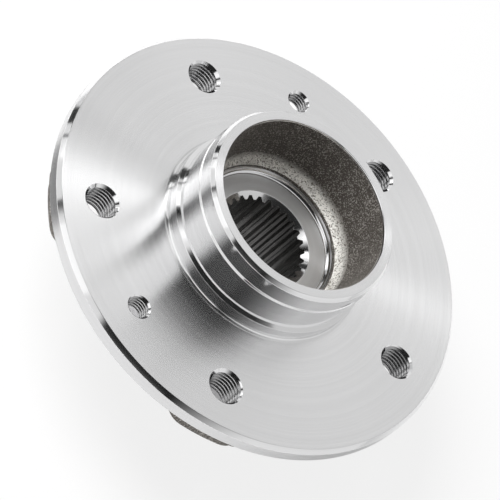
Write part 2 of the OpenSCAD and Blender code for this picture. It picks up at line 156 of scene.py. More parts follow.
class Shader:
    """A node tree under construction.

    Attributes:
        owner: the material or the world that the tree belongs to.
    """

    def __init__(self, owner: bpy.types.Material | bpy.types.World) -> None:
        """Start with an empty tree.

        Args:
            owner: the material or the world.
        """
        owner.use_nodes = True
        owner.node_tree.nodes.clear()
        self.owner = owner

    def node(self, kind: str, inputs: dict[str | int, Any] | None = None,
             **settings: Any) -> bpy.types.Node:
        """Add a node.

        Args:
            kind: the node's type.
            inputs: values or links for its sockets, by name or by number.
            settings: its own properties, such as a Math node's operation, which are set first.

        Returns:
            The node.
        """
        tree = self.owner.node_tree
        node = tree.nodes.new(kind)
        for name, value in settings.items():
            setattr(node, name, value)
        for name, value in (inputs or {}).items():
            source = value.socket if isinstance(value, Signal) else value
            if isinstance(source, bpy.types.NodeSocket):
                tree.links.new(source, node.inputs[name])
            else:
                node.inputs[name].default_value = source
        return node

    def signal(self, output: str | int, kind: str, inputs: dict[str | int, Any], **settings: Any) -> Signal:
        """Add a node, and return one of its outputs as a signal."""
        return Signal(self, self.node(kind, inputs, **settings).outputs[output])

    def maths(self, operation: str, *values: Signal | float) -> Signal:
        """Return the result of one Math node."""
        return self.signal(0, "ShaderNodeMath", dict(enumerate(values)), operation=operation)

    def dot(self, vector: bpy.types.NodeSocket, axis: Vector) -> Signal:
        """Return how far a vector reaches along a fixed axis."""
        return self.signal("Value", "ShaderNodeVectorMath", {0: vector, 1: axis}, operation="DOT_PRODUCT")

    def metres(self) -> bpy.types.NodeSocket:
        """Return the place on the piece, in metres."""
        return self.node("ShaderNodeTexCoord").outputs["Object"]

    def place(self) -> bpy.types.NodeSocket:
        """Return the place on the piece, in millimetres."""
        inputs = {0: self.metres(), "Scale": 1 / MM}
        return self.node("ShaderNodeVectorMath", inputs, operation="SCALE").outputs[0]

    def split(self, vector: bpy.types.NodeSocket) -> tuple[Signal, Signal, Signal]:
        """Return a vector's three parts."""
        node = self.node("ShaderNodeSeparateXYZ", {0: vector})
        return tuple(Signal(self, socket) for socket in node.outputs)

    def radius(self, vector: bpy.types.NodeSocket) -> Signal:
        """Return the distance from the wheel axis."""
        x, y, _ = self.split(vector)
        return (x * x + y * y) ** 0.5

    def noise(self, vector: bpy.types.NodeSocket, scale: float, detail: float = 2.0) -> Signal:
        """Return soft noise of a place, from 0 to 1, with scale in features per millimetre."""
        inputs = {"Vector": vector, "Scale": scale, "Detail": detail}
        return self.signal("Fac", "ShaderNodeTexNoise", inputs)

    def lines(self, along: Signal, pitch: float, detail: float = 2.0) -> Signal:
        """Return noise that changes along one direction only, as tool marks do."""
        inputs = {"W": along * (1 / pitch), "Scale": 1.0, "Detail": detail}
        return self.signal("Fac", "ShaderNodeTexNoise", inputs, noise_dimensions="1D")

    def cells(self, vector: bpy.types.NodeSocket, scale: float) -> Signal:
        """Return the distance to the nearest of many scattered points."""
        return self.signal("Distance", "ShaderNodeTexVoronoi", {"Vector": vector, "Scale": scale})

    def rays(self, *kinds: str) -> list[Signal]:
        """Return, for each kind of ray, a signal that is 1 for such a ray."""
        path = self.node("ShaderNodeLightPath")
        return [Signal(self, path.outputs[f"Is {kind} Ray"]) for kind in kinds]

    def blend(self, share: Signal, low: Colour | bpy.types.NodeSocket,
              high: Colour | bpy.types.NodeSocket) -> bpy.types.NodeSocket:
        """Return a colour between two, by a share from 0 to 1."""
        ends = [(*end, 1.0) if isinstance(end, tuple) else end for end in (low, high)]
        return self.node("ShaderNodeMix", {0: share, 6: ends[0], 7: ends[1]}, data_type="RGBA").outputs[2]

    def bump(self, height: Signal, depth: float) -> bpy.types.NodeSocket:
        """Return a normal that follows a height, with depth as what a height of 1 stands for."""
        return self.node("ShaderNodeBump", {"Height": height, "Distance": depth * MM}).outputs["Normal"]

    def mixed(self, share: Signal, low: bpy.types.Node, high: bpy.types.Node) -> bpy.types.Node:
        """Return a shader between two, by a share from 0 to 1."""
        return self.node("ShaderNodeMixShader", {0: share, 1: low.outputs[0], 2: high.outputs[0]})

    def close(self, surface: bpy.types.Node) -> bpy.types.Material | bpy.types.World:
        """End the tree with a shader.

        Args:
            surface: the shader.

        Returns:
            The owner of the tree.
        """
        kind = "World" if isinstance(self.owner, bpy.types.World) else "Material"
        self.node(f"ShaderNodeOutput{kind}", {"Surface": surface.outputs[0]})
        return self.owner

    def finish(self, **inputs: Any) -> bpy.types.Material:
        """End the tree with a Principled shader; a name's underscores stand for spaces."""
        named = {name.replace("_", " "): value for name, value in inputs.items()}
        return self.close(self.node("ShaderNodeBsdfPrincipled", named))


def dimmed(colour: Colour, share: float) -> Colour:
    """Return a share of a colour."""
    return tuple(share * channel for channel in colour)


@dataclass(frozen=True)
class TurnedSteel:
    """Bright steel with the fine grooves of a lathe, which spread a reflection across them.

    Attributes:
        name: the material's name.
        colour: the colour of the steel.
        roughness: how far it blurs what it reflects.
        spread: how much further it blurs across the grooves than along them.
        pitch: distance between grooves.
        groove: depth of the grooves.
        wander: how much the roughness changes from band to band.
        climb: how far the pattern moves on for each millimetre of height.
        band: distance between the broad bands.
        band_start: where their pattern starts, so that it differs from the grooves'.
        patch: patches per millimetre.
        dim: share of the colour that the dimmest places keep.
    """

    name: str
    colour: Colour
    roughness: float
    spread: float
    pitch: float
    groove: float
    wander: float
    climb: float = 1.31
    band: float = 2.3
    band_start: float = 40.0
    patch: float = 0.045
    dim: float = 0.93

    def material(self) -> bpy.types.Material:
        """Make the material.

        Returns:
            The material.
        """
        shader = Shader(bpy.data.materials.new(self.name))
        place = shader.place()
        height = shader.split(place)[2]
        along = shader.radius(place) + height * self.climb
        fine = shader.lines(along, self.pitch)
        broad = shader.lines(along + self.band_start, self.band)
        patch = shader.noise(place, self.patch)
        tone = (fine * 0.35 + broad * 0.4 + patch * 0.25).step(0.25, 0.75)
        return shader.finish(
            Base_Color=shader.blend(tone, dimmed(self.colour, self.dim), self.colour),
            Metallic=1.0,
            Roughness=self.roughness + broad.swing(self.wander) + patch.swing(self.wander),
            Anisotropic=self.spread,
            Anisotropic_Rotation=ACROSS_GROOVES,
            Normal=shader.bump(fine * 0.6 + broad * 0.4, self.groove),
        )


@dataclass(frozen=True)
class ForgedScale:
    """The rough dark skin that a forging keeps where it isn't machined.

    Attributes:
        name: the material's name.
        dark: the colour of the scale.
        light: the colour of the grains that stand out of it.
        grain: grains per millimetre.
        cover: share of the noise above which a grain shows, from 0 to 1.
        relief: height of the grains.
        metallic: how metallic the skin is.
        roughness: how dull it is.
        fade: heights between which it gives way to plain scale, if it does.
        cloud: clouds per millimetre, which thin the grains out or crowd them.
        crowd: how far the clouds shift the share of the noise that shows grains.
        drift: how far the clouds shift the heights of the fade.
        rest: strength of the grains that are left on plain scale.
        pit: pits per grain.
        soft: how softly a grain's edge fades into the scale.
    """

    name: str
    dark: Colour = (0.105, 0.093, 0.082)
    light: Colour = (0.46, 0.435, 0.40)
    grain: float = 2.2
    cover: float = 0.58
    relief: float = 0.08
    metallic: float = 0.4
    roughness: float = 0.5
    fade: Point | None = None
    cloud: float = 0.22
    crowd: float = 0.18
    drift: float = 2.0
    rest: float = 0.6
    pit: float = 0.55
    soft: float = 0.07

    def material(self) -> bpy.types.Material:
        """Make the material.

        Returns:
            The material.
        """
        shader = Shader(bpy.data.materials.new(self.name))
        place = shader.place()
        fine = shader.noise(place, self.grain, FINE_DETAIL)
        coarse = shader.noise(place, self.cloud, FINE_DETAIL)
        pits = shader.cells(place, self.grain * self.pit)
        specks = (fine + coarse.swing(self.crowd)).step(self.cover - self.soft, self.cover + self.soft)
        colour = shader.blend(specks, self.dark, self.light)
        if self.fade:
            plain = shader.blend(specks * self.rest, ForgedScale.dark, ForgedScale.light)
            height = shader.split(place)[2] + coarse.swing(self.drift)
            colour = shader.blend(height.step(*self.fade), colour, plain)
        return shader.finish(
            Base_Color=colour,
            Metallic=self.metallic,
            Roughness=self.roughness + coarse.swing(0.25) - specks * 0.12,
            Normal=shader.bump(fine * 0.7 + pits * 0.5 + coarse * 0.6, self.relief),
        )


@dataclass(frozen=True)
class BroachedSteel:
    """Steel cut along the wheel axis, with fine scores that run the same way.

    Attributes:
        name: the material's name.
        colour: the colour of the steel.
        roughness: how dull it is.
        across: scores per millimetre, across them.
        along: changes per millimetre, along them.
        score: depth of the scores.
        wander: how much the roughness changes from score to score.
        dim: share of the colour that a score keeps.
    """

    name: str
    colour: Colour = (0.34, 0.335, 0.33)
    roughness: float = 0.3
    across: float = 5.0
    along: float = 0.12
    score: float = 0.01
    wander: float = 0.3
    dim: float = 0.55

    def material(self) -> bpy.types.Material:
        """Make the material.

        Returns:
            The material.
        """
        shader = Shader(bpy.data.materials.new(self.name))
        x, y, z = shader.split(shader.place())
        stretched = {0: x * self.across, 1: y * self.across, 2: z * self.along}
        stretched_place = shader.node("ShaderNodeCombineXYZ", stretched).outputs[0]
        scores = shader.noise(stretched_place, 1.0, FINE_DETAIL)
        return shader.finish(
            Base_Color=shader.blend(scores.step(0.35, 0.65), dimmed(self.colour, self.dim), self.colour),
            Metallic=1.0,
            Roughness=self.roughness + scores.swing(self.wander),
            Normal=shader.bump(scores, self.score),
        )


@dataclass(frozen=True)
class GroundSteel:
    """Hard steel finished by grinding, with short fine scratches round the axis.

    Attributes:
        name: the material's name.
        colour: the colour of the steel.
        roughness: how dull it is.
        scratch: depth of the scratches.
        pitch: distance between scratches.
        band: distance between the broad bands.
        band_start: where their pattern starts, so that it differs from the scratches'.
        patch: patches per millimetre.
        spread: how much further it blurs across the scratches than along them.
        wander: how much the roughness changes from band to band.
        patch_wander: how much it changes from patch to patch.
        dim: share of the colour that the dimmest places keep.
    """

    name: str
    colour: Colour = (0.70, 0.70, 0.715)
    roughness: float = 0.2
    scratch: float = 0.0006
    pitch: float = 0.16
    band: float = 1.9
    band_start: float = 17.0
    patch: float = 0.09
    spread: float = 0.5
    wander: float = 0.08
    patch_wander: float = 0.1
    dim: float = 0.86

    def material(self) -> bpy.types.Material:
        """Make the material.

        Returns:
            The material.
        """
        shader = Shader(bpy.data.materials.new(self.name))
        place = shader.place()
        along = shader.radius(place) + shader.split(place)[2]
        lines = shader.lines(along, self.pitch)
        bands = shader.lines(along + self.band_start, self.band, 1.0)
        patch = shader.noise(place, self.patch, FINE_DETAIL)
        tone = (patch + lines.swing(0.4)).step(0.35, 0.75)
        return shader.finish(
            Base_Color=shader.blend(tone, dimmed(self.colour, self.dim), self.colour),
            Metallic=1.0,
            Roughness=self.roughness + bands.swing(self.wander) + patch.swing(self.patch_wander),
            Anisotropic=self.spread,
            Anisotropic_Rotation=ACROSS_GROOVES,
            Normal=shader.bump(lines, self.scratch),
        )


@dataclass(frozen=True)
class MouldedPolymer:
    """Rubber or nylon from a mould, with a faint grain.

    Attributes:
        name: the material's name.
        colour: the colour of the polymer.
        roughness: how dull it is.
        grain: grains per millimetre.
        relief: height of the grain.
        sheen: strength of the soft edge light that rubber has.
        cloud: clouds per millimetre.
        wander: how much the roughness changes from cloud to cloud, and half as much from grain to grain.
    """

    name: str
    colour: Colour
    roughness: float
    grain: float = 2.5
    relief: float = 0.01
    sheen: float = 0.1
    cloud: float = 0.15
    wander: float = 0.2

    def material(self) -> bpy.types.Material:
        """Make the material.

        Returns:
            The material.
        """
        shader = Shader(bpy.data.materials.new(self.name))
        place = shader.place()
        fine = shader.noise(place, self.grain, FINE_DETAIL)
        cloud = shader.noise(place, self.cloud)
        pale = tuple(min(1.0, 1.5 * channel + 0.01) for channel in self.colour)
        return shader.finish(
            Base_Color=shader.blend((fine * 0.5 + cloud * 0.5).step(0.35, 0.7), self.colour, pale),
            Roughness=self.roughness + cloud.swing(self.wander) + fine.swing(self.wander / 2),
            Sheen_Weight=self.sheen,
            Normal=shader.bump(fine, self.relief),
        )


class Surface(Enum):
    """The finishes of the hub and its bearing."""

    FACE = TurnedSteel("turned_face", BRIGHT, 0.22, spread=1.0, pitch=0.4, groove=0.00025, wander=0.03)
    POLISHED = TurnedSteel("polished_wall", BRIGHT, 0.1, spread=0.3, pitch=0.3, groove=0.0003, wander=0.03)
    CHAMFER = TurnedSteel("polished_chamfer", BRIGHT, 0.09, spread=0.3, pitch=0.3, groove=0.0003,
                          wander=0.02)
    RIM = TurnedSteel("turned_rim", (0.73, 0.73, 0.735), 0.17, spread=0.5, pitch=0.3, groove=0.0003,
                      wander=0.05)
    SEAT = TurnedSteel("turned_seat", (0.93, 0.93, 0.93), 0.34, spread=0.9, pitch=0.3, groove=0.0005,
                       wander=0.05)
    SCALE = ForgedScale("forged_scale")
    GRAIN = ForgedScale("blasted_grain", (0.19, 0.17, 0.145), (0.97, 0.95, 0.90), grain=1.9, cover=0.44,
                        relief=0.14, metallic=0.3, roughness=0.4, fade=(4.4, 7.9))
    THREAD = TurnedSteel("cut_thread", (0.54, 0.54, 0.545), 0.2, spread=0.0, pitch=0.2, groove=0.001,
                         wander=0.05)
    SPLINE = BroachedSteel("broached_teeth")
    RING = GroundSteel("ground_ring")
    BALL = GroundSteel("lapped_ball", (0.84, 0.84, 0.86), 0.06, scratch=0.0001)
    SHEET = TurnedSteel("pressed_sheet", (0.56, 0.56, 0.575), 0.3, spread=0.3, pitch=0.6, groove=0.001,
                        wander=0.1)
    BAND = GroundSteel("sprung_band", (0.30, 0.31, 0.36), 0.28)
    NYLON = MouldedPolymer("cage_nylon", (0.016, 0.03, 0.055), 0.45, grain=1.8, relief=0.012, sheen=0.0)
    RUBBER = MouldedPolymer("seal_rubber", (0.018, 0.018, 0.02), 0.6)
    MAGNET = MouldedPolymer("encoder_rubber", (0.03, 0.028, 0.026), 0.5, grain=4.0, relief=0.02)


class Palette:
    """The materials that have been made, one for each finish in use.

    Attributes:
        made: the materials by surface.
    """

    made: dict[Surface, bpy.types.Material] = {}

    @classmethod
    def of(cls, surface: Surface) -> bpy.types.Material:
        """Look up the material of a surface, which is made the first time.

        Args:
            surface: the surface.

        Returns:
            The material.
        """
        if surface not in cls.made:
            cls.made[surface] = surface.value.material()
        return cls.made[surface]


def spun(angle: float) -> Matrix:
    """Return a turn about the wheel axis, by an angle in degrees."""
    return Matrix.Rotation(math.radians(angle), 4, "Z")


def placed(name: str, data: bpy.types.ID) -> bpy.types.Object:
    """Put an object in the scene.

    Args:
        name: its name.
        data: the mesh, camera or light that it holds.

    Returns:
        The object.
    """
    made = bpy.data.objects.new(name, data)
    bpy.context.scene.collection.objects.link(made)
    return made


def shaped(name: str, mesh: bmesh.types.BMesh, materials: Iterable[bpy.types.Material]) -> bpy.types.Object:
    """Put an object in the scene that holds a mesh as it is.

    Args:
        name: its name.
        mesh: the mesh, which stays open.
        materials: what its material slots hold.

    Returns:
        The object.
    """
    data = bpy.data.meshes.new(name)
    mesh.to_mesh(data)
    for material in materials:
        data.materials.append(material)
    return placed(name, data)


def arc_points(centre: Point, radius: float, first: float, sweep: float, steps: int) -> list[Point]:
    """Return the points of an arc after its first one.

    Args:
        centre: the centre.
        radius: the radius.
        first: the angle at which it starts, in radians.
        sweep: how far it turns, in radians.
        steps: how many chords it has.

    Returns:
        The points.
    """
    turned = [first + sweep * i / steps for i in range(1, steps + 1)]
    return [(centre[0] + radius * math.cos(a), centre[1] + radius * math.sin(a)) for a in turned]


@dataclass
class Outline:
    """The outline of a turned piece, walked from point to point in a plane through its axis.

    Attributes:
        here: the last point, as radius and height in millimetres.
        stretches: a surface and its points, for each part of the outline.
    """

    here: Point
    stretches: list[tuple[Surface, list[Point]]] = field(default_factory=list)

    @classmethod
    def ring(cls, surface: Surface, *points: Point) -> Outline:
        """Return a closed outline that has one surface."""
        return cls(points[0]).to(surface, *points[1:], points[0])

    def to(self, surface: Surface, *points: Point) -> Outline:
        """Go on through some points.

        Args:
            surface: the surface that the stretch makes.
            points: the points.

        Returns:
            The outline.
        """
        self.stretches.append((surface, [self.here, *points]))
        self.here = points[-1]
        return self

    def arc(self, surface: Surface, centre: Point, end: Point, steps: int) -> Outline:
        """Go on along an arc.

        Args:
            surface: the surface that the arc makes.
            centre: the centre of the arc.
            end: where it ends, by the shorter way round.
            steps: how many chords it has.

        Returns:
            The outline.
        """
        first = math.atan2(self.here[1] - centre[1], self.here[0] - centre[0])
        last = math.atan2(end[1] - centre[1], end[0] - centre[0])
        sweep = (last - first + math.pi) % TURN - math.pi
        points = arc_points(centre, math.dist(self.here, centre), first, sweep, steps)
        return self.to(surface, *points[:-1], end)


class Blank:
    """A mesh on the bench: shapes are turned, cut and joined, and it ends as one piece.

    Attributes:
        mesh: the bmesh.
        surfaces: the surface of each material slot.
    """

    def __init__(self, surfaces: Sequence[Surface]) -> None:
        """Start an empty mesh that has these surfaces."""
        self.mesh = bmesh.new()
        self.surfaces = list(surfaces)

    def turn(self, outline: Outline, steps: int) -> Blank:
        """Spin an outline about the wheel axis.

        Args:
            outline: what is spun.
            steps: how many steps the spin takes.

        Returns:
            The blank.
        """
        for surface, points in outline.stretches:
            part = Blank(self.surfaces)
            verts = [part.mesh.verts.new((r * MM, 0, z * MM)) for r, z in points]
            edges = [part.mesh.edges.new(pair) for pair in zip(verts, verts[1:])]
            bmesh.ops.spin(part.mesh, geom=verts + edges, cent=(0, 0, 0), axis=(0, 0, 1), angle=TURN,
                           steps=steps, use_merge=True)
            self.add(part.paint(surface))
        return self.tidy()

    def extrude(self, height: float) -> Blank:
        """Extrude every face along the wheel axis.

        Args:
            height: how far the new faces rise.

        Returns:
            The blank.
        """
        made = bmesh.ops.extrude_face_region(self.mesh, geom=list(self.mesh.faces))["geom"]
        raised = [item for item in made if isinstance(item, bmesh.types.BMVert)]
        bmesh.ops.translate(self.mesh, verts=raised, vec=(0, 0, height * MM))
        return self

    def tidy(self) -> Blank:
        """Merge what meets and turn every face outwards.

        Returns:
            The blank.
        """
        bmesh.ops.remove_doubles(self.mesh, verts=self.mesh.verts, dist=MERGE)
        bmesh.ops.recalc_face_normals(self.mesh, faces=self.mesh.faces)
        return self

    def move(self, matrix: Matrix) -> Blank:
        """Move the whole mesh."""
        bmesh.ops.transform(self.mesh, matrix=matrix, verts=self.mesh.verts)
        return self

    def paint(self, surface: Surface) -> Blank:
        """Give every face one surface.

        Args:
            surface: the surface.

        Returns:
            The blank.
        """
        for face in self.mesh.faces:
            face.material_index = self.surfaces.index(surface)
        return self

    def ease(self, width: float) -> Blank:
        """Round the edges that turn by more than EASED_ANGLE.

        Args:
            width: width of the rounding, in millimetres.

        Returns:
            The blank.
        """
        edges = [e for e in self.mesh.edges
                 if len(e.link_faces) == 2 and e.calc_face_angle(0) > EASED_ANGLE]
        bmesh.ops.bevel(self.mesh, geom=edges, offset=width * MM, offset_type="OFFSET",
                        segments=EASED_FACETS, profile=0.5, affect="EDGES", material=-1, clamp_overlap=True)
        return self.tidy()

    def add(self, other: Blank, place: Matrix | None = None) -> Blank:
        """Put a copy of another blank in this mesh.

        Args:
            other: the other blank.
            place: where the copy is moved to, if it is moved.

        Returns:
            The blank.
        """
        part = bpy.data.meshes.new("part")
        other.mesh.to_mesh(part)
        known = set(self.mesh.verts)
        self.mesh.from_mesh(part)
        if place is not None:
            bmesh.ops.transform(self.mesh, matrix=place, verts=list(set(self.mesh.verts) - known))
        bpy.data.meshes.remove(part)
        return self

    def copies(self, places: Iterable[Matrix]) -> Blank:
        """Copy this blank to several places.

        Args:
            places: the places.

        Returns:
            A new blank that holds the copies.
        """
        group = Blank(self.surfaces)
        for place in places:
            group.add(self, place)
        return group

    def _object(self, name: str) -> bpy.types.Object:
        """Return an object that holds the mesh as it is."""
        return shaped(name, self.mesh, [Palette.of(surface) for surface in self.surfaces])

    def combine(self, tool: Blank, operation: str) -> Blank:
        """Join another closed mesh to this one, or cut it away.

        Args:
            tool: the other mesh, which has the same surfaces.
            operation: UNION, DIFFERENCE or INTERSECT.

        Returns:
            The blank.
        """
        body, knife = self._object("body"), tool._object("knife")
        modifier = body.modifiers.new("combine", "BOOLEAN")
        modifier.object = knife
        modifier.operation = operation
        modifier.solver = "EXACT"
        bpy.context.view_layer.update()
        graph = bpy.context.evaluated_depsgraph_get()
        result = bpy.data.meshes.new_from_object(body.evaluated_get(graph))
        self.mesh.clear()
        self.mesh.from_mesh(result)
        for thing in (body, knife):
            data = thing.data
            bpy.data.objects.remove(thing)
            bpy.data.meshes.remove(data)
        bpy.data.meshes.remove(result)
        return self

    def piece(self, name: str, body: str, slot: str, node: str) -> bpy.types.Object:
        """End the work: the mesh becomes a piece that rides on a body in place of a node.

        Args:
            name: the piece's name.
            body: the body that it rides on.
            slot: the record's material slot; it is not used.
            node: the node that it stands for.

        Returns:
            The object.
        """
        for face in self.mesh.faces:
            face.smooth = True
        for edge in self.mesh.edges:
            edge.smooth = len(edge.link_faces) == 2 and edge.calc_face_angle(0) < SHARP_ANGLE
        made = self._object(name)
        weigh = made.modifiers.new("flat_shading", "WEIGHTED_NORMAL")
        weigh.keep_sharp = True
        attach(made, body)
        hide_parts(node)
        LOG.info("%s: %d faces on %s", name, len(made.data.polygons), body)
        self.mesh.free()
        return made


@dataclass
class ThreadedHole:
    """A threaded hole through the flange, with a countersunk mouth.

    Attributes:
        circle: radius of the circle about the wheel axis that it lies on.
        angle: where it is on that circle, in degrees.
        bore: radius at the thread's crests.
        root: radius at the thread's roots.
        mouth: radius of the countersink at the face.
        pitch: pitch of the thread.
        depth: how deep the material is here.
        exit: width of the chamfer at the rear end, if it has one.
        steps: how many facets the bore has.
        past: how far the drill reaches past the material.
        run_out: how far the tap reaches past it at the rear.
        lap: how far inside the bore the tap's ridge starts.
        flank: slope of the thread's flanks, in degrees.
    """

    circle: float
    angle: float
    bore: float
    root: float
    mouth: float
    pitch: float
    depth: float
    exit: float = 0.0
    steps: int = 44
    past: float = 1.0
    run_out: float = 1.2
    lap: float = 0.25
    flank: float = 30.0

    def _place(self) -> Matrix:
        """Return the move from the axis to the hole."""
        return spun(self.angle) @ Matrix.Translation((self.circle * MM, 0, 0))

    def drill(self, surfaces: Sequence[Surface]) -> Blank:
        """Make the cutter of the plain bore and its countersink.

        Args:
            surfaces: the surfaces of the piece that it cuts.

        Returns:
            The cutter.
        """
        sink = self.mouth - self.bore
        end = -self.depth - self.past
        outline = Outline((0.0, end))
        if self.exit:
            outline.to(Surface.SEAT, (self.bore + self.exit + self.past, end),
                       (self.bore, self.exit - self.depth))
        else:
            outline.to(Surface.THREAD, (self.bore, end))
        outline.to(Surface.THREAD, (self.bore, -sink))
        outline.to(Surface.CHAMFER, (self.mouth + self.past, self.past), (0.0, self.past))
        return Blank(surfaces).turn(outline, self.steps).move(self._place())

    def tap(self, surfaces: Sequence[Surface]) -> Blank:
        """Make the cutter of the thread, one ridge wound along the bore.

        Args:
            surfaces: the surfaces of the piece that it cuts.

        Returns:
            The cutter.
        """
        # A thread's root is flat for an eighth of its pitch.
        half_root = self.pitch / 8 / 2
        inner = self.bore - self.lap
        half_base = half_root + (self.root - inner) * math.tan(math.radians(self.flank))
        start, end = -self.depth - self.run_out, (self.bore - self.mouth) / 2
        turns = (end - start) / self.pitch
        steps = round(turns * self.steps)
        blank = Blank(surfaces)
        section = [(inner, -half_base), (self.root, -half_root), (self.root, half_root), (inner, half_base)]
        verts = [blank.mesh.verts.new((r * MM, 0, (start + z) * MM)) for r, z in section]
        cap = blank.mesh.faces.new(verts)
        bmesh.ops.spin(blank.mesh, geom=[cap], cent=(0, 0, 0), axis=(0, 0, 1), angle=turns * TURN,
                       dvec=(0, 0, (end - start) * MM / steps), steps=steps)
        return blank.paint(Surface.THREAD).tidy().move(self._place())


@dataclass
class ForgedArm:
    """An arm behind a wheel-bolt hole: drafted, with round corners and a fillet at its root.

    Attributes:
        rim: thickness of the flange that it hangs from.
        depth: depth of its rear face below the flange's front.
        flange: radius of the flange, which trims it.
        width: its width at the rear, before its edges are rounded.
        start: radius at which it starts, inside the core.
        end: radius of its end at the rear, before its edges are rounded.
        corner: radius of its corners, seen from behind.
        draft: slope of its walls, in degrees.
        edge: radius of its rear edges.
        root_fillet: radius of the fillet at its root.
        sunk: how far it is sunk in the flange.
        inset: how far its end stays inside the flange's rim.
    """

    rim: float
    depth: float
    flange: float
    width: float = 27.0
    start: float = 24.0
    end: float = 73.65
    corner: float = 7.0
    draft: float = 6.0
    edge: float = 1.2
    root_fillet: float = 2.0
    sunk: float = 2.0
    inset: float = 0.05

    @staticmethod
    def _quarter(radius: float, steps: int) -> list[Point]:
        """Break a quarter turn into chords.

        Args:
            radius: radius of the turn.
            steps: how many chords there are.

        Returns:
            How far each chord runs the way the turn starts, and how far the way it ends.
        """
        turned = [math.pi / 2 * i / steps for i in range(steps + 1)]
        return [(radius * (math.sin(b) - math.sin(a)), radius * (math.cos(a) - math.cos(b)))
                for a, b in zip(turned, turned[1:])]

    def _plan(self, grown: float) -> list[Point]:
        """Draw the arm along +X as it is seen from behind.

        Args:
            grown: how much further out its walls are at the flange than at its rear.

        Returns:
            The points of its outline.
        """
        side = self.width / 2 - self.corner
        reach = self.end - self.corner
        turn = math.asin(side / reach)
        upper = arc_points((0, 0), self.end + grown, 0, turn, steps=3)
        upper += arc_points((reach * math.cos(turn), side), self.corner + grown, turn, math.pi / 2 - turn,
                            steps=9)
        upper.append((self.start, self.width / 2 + grown))
        return [(x, -y) for x, y in reversed(upper)] + [(self.end + grown, 0)] + upper

    def build(self, surfaces: Sequence[Surface]) -> Blank:
        """Make the arm along +X.

        Args:
            surfaces: the surfaces of the piece that it joins.

        Returns:
            The arm.
        """
        slope = math.tan(math.radians(self.draft))
        wall = self.depth - self.rim - self.root_fillet - self.edge
        levels = [*self._quarter(self.root_fillet, steps=5), (slope * wall, wall)]
        levels += [(inward, down) for down, inward in self._quarter(self.edge, steps=4)]
        blank = Blank(surfaces)
        corners = [blank.mesh.verts.new((x * MM, y * MM, -self.rim * MM))
                   for x, y in self._plan(slope * wall + self.root_fillet)]
        face = blank.mesh.faces.new(corners)
        blank.extrude(self.sunk).tidy()
        for inward, down in levels:
            bmesh.ops.inset_region(blank.mesh, faces=[face], use_boundary=True, use_even_offset=True,
                                   thickness=inward * MM, depth=down * MM)
        blank.paint(Surface.SCALE).tidy()
        reach, low = self.flange - self.inset, -self.depth - 1
        trim = Outline((0.0, 0.0)).to(Surface.SCALE, (reach, 0.0), (reach, low), (0.0, low))
        return blank.combine(Blank(surfaces).turn(trim, steps=144), "INTERSECT")


@dataclass(frozen=True)
class Spline:
    """The toothed part of the bore.

    Attributes:
        tip: radius of the teeth's tips.
        root: radius of the spaces' floors.
        teeth: how many teeth there are.
        phase: angle of the first space, in degrees.
        flank: slope of the teeth's sides, in degrees.
        lap: how far inside the tips the cutter starts.
    """

    tip: float = 15.25
    root: float = 16.5
    teeth: int = 28
    phase: float = 5.3
    flank: float = 30.0
    lap: float = 0.3

    def spaces(self, surfaces: Sequence[Surface], low: float, high: float) -> Blank:
        """Make the cutter of the spaces between the teeth.

        Args:
            surfaces: the surfaces of the piece that it cuts.
            low: height at which it starts.
            high: height at which it ends.

        Returns:
            The cutter.
        """
        height = self.root - self.tip
        slope = math.tan(math.radians(self.flank))
        half = math.pi * (self.root + self.tip) / 2 / self.teeth / 2
        inner = self.tip - self.lap
        wide, narrow = half + slope * (height / 2 + self.lap), half - slope * height / 2
        points = [Vector((inner, -wide, low)), Vector((self.root, -narrow, low)),
                  Vector((self.root, narrow, low)), Vector((inner, wide, low))]
        points.append(Matrix.Rotation(TURN / self.teeth, 3, "Z") @ points[0])
        blank = Blank(surfaces)
        bm = blank.mesh
        verts = [bm.verts.new(point * MM) for point in points]
        edges = [bm.edges.new(pair) for pair in zip(verts, verts[1:])]
        bmesh.ops.spin(bm, geom=verts + edges, cent=(0, 0, 0), axis=(0, 0, 1), angle=TURN, steps=self.teeth,
                       use_duplicate=True)
        bmesh.ops.remove_doubles(bm, verts=bm.verts, dist=10 * MERGE)
        bmesh.ops.holes_fill(bm, edges=bm.edges, sides=0)
        return blank.extrude(high - low).paint(Surface.SPLINE).tidy().move(spun(self.phase))


